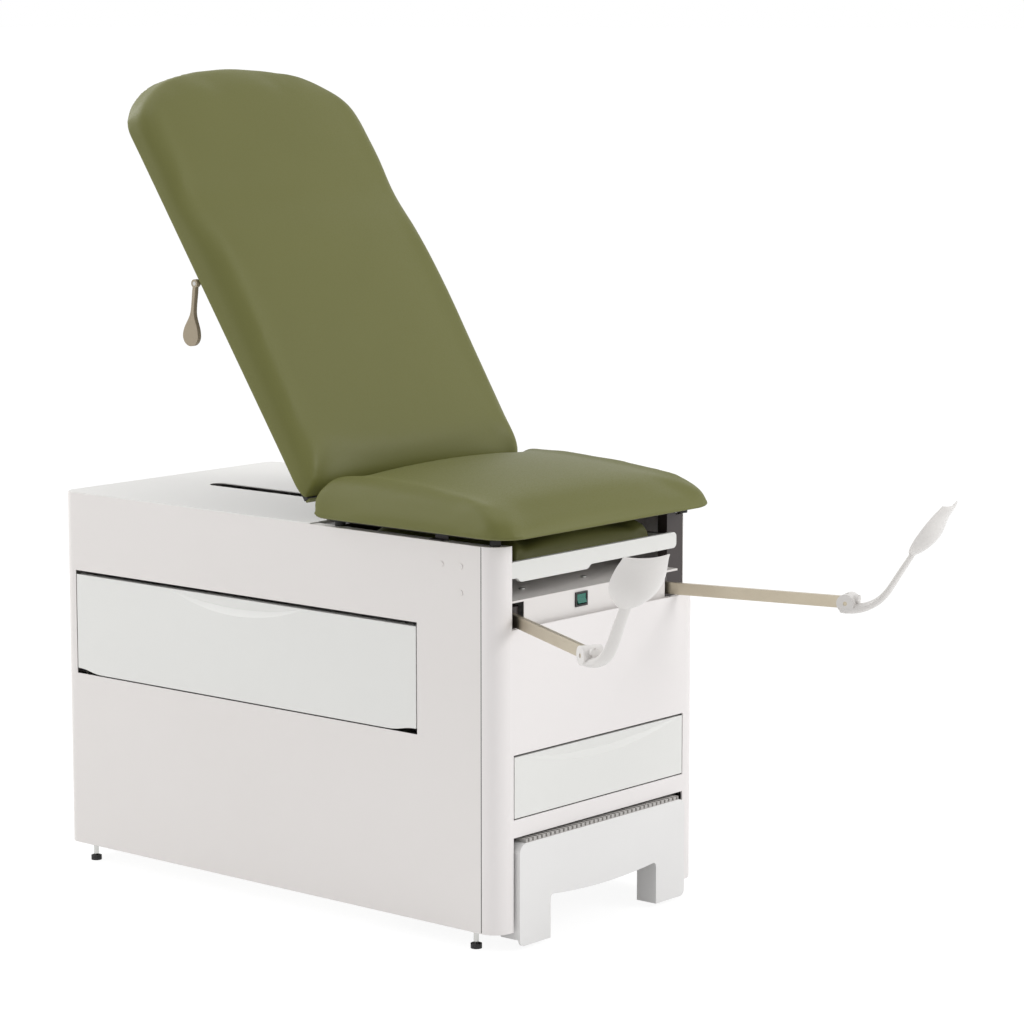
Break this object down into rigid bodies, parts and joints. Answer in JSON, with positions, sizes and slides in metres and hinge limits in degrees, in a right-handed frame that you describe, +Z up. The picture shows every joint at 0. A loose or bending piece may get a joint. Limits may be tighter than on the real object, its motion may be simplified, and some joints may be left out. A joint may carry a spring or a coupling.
{
  "type": "examination table",
  "caption": "Medical examination table: cabinet with drawers, pull-out step and leg rest, raised upholstered back on a gas spring, and folding heel stirrups.",
  "frame": {"origin": "on the floor under the centre of the cabinet", "axes": "+X to the foot end where the step pulls out, -Y to the side with the long drawer, +Z up"},
  "size_m": [1.6731, 0.9014, 1.5867],
  "materials": {
    "upholstery": "satin olive vinyl",
    "side_paint": "satin warm white",
    "fascia_white": "satin white",
    "deck_paint": "satin white",
    "drawer_white": "satin white",
    "step_white": "satin white",
    "inner_paint": "matt dark grey",
    "galvanised": "plain steel",
    "arm_steel": "brushed, warm",
    "bright_steel": "polished",
    "black_board": "black stained",
    "black_rubber": "matt",
    "tread_rubber": "ribbed",
    "cup_white": "satin white",
    "taupe_plastic": "taupe",
    "switch_black": "black",
    "switch_green": "green",
    "plug_white": "white"
  },
  "bodies": {
    "cabinet": {"drawer_side_panel": "side_paint", "plain_side_panel": "side_paint", "panel_plugs": "plug_white", "rear_panel": "side_paint", "power_inlet": "switch_black", "base_pan": "galvanised", "drawer_shelf": "galvanised", "centre_bulkhead": "galvanised", "hinge_beam": "inner_paint", "cross_beam": "inner_paint", "front_uprights": "inner_paint", "front_fascia": "fascia_white", "top_deck": "deck_paint", "foot_pads": "black_rubber", "foot_stems": "bright_steel", "seat_bumpers": "black_rubber", "seat_brackets": "inner_paint", "seat_board": "black_board", "seat_cushion": "upholstery", "hinge_brackets": "inner_paint", "hinge_pins": "bright_steel", "side_drawer_rails": "galvanised", "front_drawer_rails": "galvanised", "step_guides": "galvanised", "leg_rest_rails": "galvanised", "stirrup_housing": "side_paint", "housing_screws": "bright_steel", "stirrup_pivots": "bright_steel", "switch_bezel": "switch_black"},
    "backrest": {"back_board": "black_board", "back_cushion": "upholstery", "hinge_leaves": "inner_paint", "strut_clevis": "inner_paint", "shaft_bearings": "switch_black"},
    "spring_rod": {"gas_spring_rod": "bright_steel"},
    "spring_cylinder": {"gas_spring_cylinder": "inner_paint"},
    "release_bar": {"release_shaft": "bright_steel", "near_paddle": "taupe_plastic", "far_paddle": "taupe_plastic"},
    "side_drawer": {"side_drawer_front": "drawer_white", "side_drawer_box": "drawer_white", "side_drawer_slides": "galvanised"},
    "front_drawer": {"front_drawer_front": "drawer_white", "front_drawer_box": "drawer_white", "front_drawer_slides": "galvanised"},
    "step": {"step_shell": "step_white", "step_tread": "tread_rubber", "step_runners": "galvanised"},
    "leg_rest": {"leg_rest_tray": "drawer_white", "leg_rest_pad": "upholstery", "leg_rest_slides": "galvanised"},
    "near_swivel": {"near_swivel_block": "inner_paint"},
    "near_arm": {"near_stirrup_arm": "arm_steel"},
    "near_cup": {"near_heel_cup": "cup_white", "near_hub_cap": "cup_white"},
    "far_swivel": {"far_swivel_block": "inner_paint"},
    "far_arm": {"far_stirrup_arm": "arm_steel"},
    "far_cup": {"far_heel_cup": "cup_white", "far_hub_cap": "cup_white"},
    "switch": {"switch_rocker": "switch_green"}
  },
  "joints": [
    {"name": "back_tilt", "type": "hinge", "parent": "cabinet", "child": "backrest", "pos_m": [0.131, 0, 0.79], "axis": [0, 1, 0], "range_deg": [-56, 4]},
    {"name": "spring_swing", "type": "hinge", "parent": "backrest", "child": "spring_rod", "pos_m": [-0.19564, -0.032, 1.18485], "axis": [0, 1, 0], "range_deg": [-1.5, 7]},
    {"name": "spring_stroke", "type": "slide", "parent": "spring_rod", "child": "spring_cylinder", "axis": [0.465, 0, -0.8853], "range_m": [-0.118, 0.018]},
    {"name": "release_squeeze", "type": "hinge", "parent": "backrest", "child": "release_bar", "pos_m": [-0.17409, 0, 1.17526], "axis": [0, -1, 0], "range_deg": [0, 15], "stiffness_Nm_per_rad": 4, "springref_deg": -8.59},
    {"name": "side_drawer_slide", "type": "slide", "parent": "cabinet", "child": "side_drawer", "axis": [0, -1, 0], "range_m": [0, 0.4]},
    {"name": "front_drawer_slide", "type": "slide", "parent": "cabinet", "child": "front_drawer", "axis": [1, 0, 0], "range_m": [0, 0.34]},
    {"name": "step_slide", "type": "slide", "parent": "cabinet", "child": "step", "axis": [1, 0, 0], "range_m": [0, 0.24]},
    {"name": "leg_rest_slide", "type": "slide", "parent": "cabinet", "child": "leg_rest", "axis": [1, 0, 0], "range_m": [0, 0.33]},
    {"name": "near_arm_swivel", "type": "hinge", "parent": "cabinet", "child": "near_swivel", "pos_m": [0.528, -0.217, 0.605], "axis": [0, 0, 1], "range_deg": [-7.4, 28.6]},
    {"name": "near_arm_slide", "type": "slide", "parent": "near_swivel", "child": "near_arm", "axis": [0.878, -0.4787, 0], "range_m": [-0.28, 0]},
    {"name": "near_cup_fold", "type": "hinge", "parent": "near_arm", "child": "near_cup", "pos_m": [0.86515, -0.40082, 0.605], "axis": [-0.4787, -0.878, 0], "range_deg": [-40, 35]},
    {"name": "far_arm_swivel", "type": "hinge", "parent": "cabinet", "child": "far_swivel", "pos_m": [0.528, 0.217, 0.605], "axis": [0, 0, 1], "range_deg": [-14.2, 21.8]},
    {"name": "far_arm_slide", "type": "slide", "parent": "far_swivel", "child": "far_arm", "axis": [0.9694, 0.2453, 0], "range_m": [-0.28, 0]},
    {"name": "far_cup_fold", "type": "hinge", "parent": "far_arm", "child": "far_cup", "pos_m": [0.90027, 0.3112, 0.605], "axis": [0.2453, -0.9694, 0], "range_deg": [-40, 35]},
    {"name": "switch_rock", "type": "hinge", "parent": "cabinet", "child": "switch", "pos_m": [0.5515, -0.045, 0.62], "axis": [0, 1, 0], "range_deg": [0, 20]}
  ],
  "couplings": [
    {"joint": "spring_swing", "follows": "back_tilt", "ratio": -0.105},
    {"joint": "spring_stroke", "follows": "back_tilt", "m_per_rad": 0.1175}
  ]
}
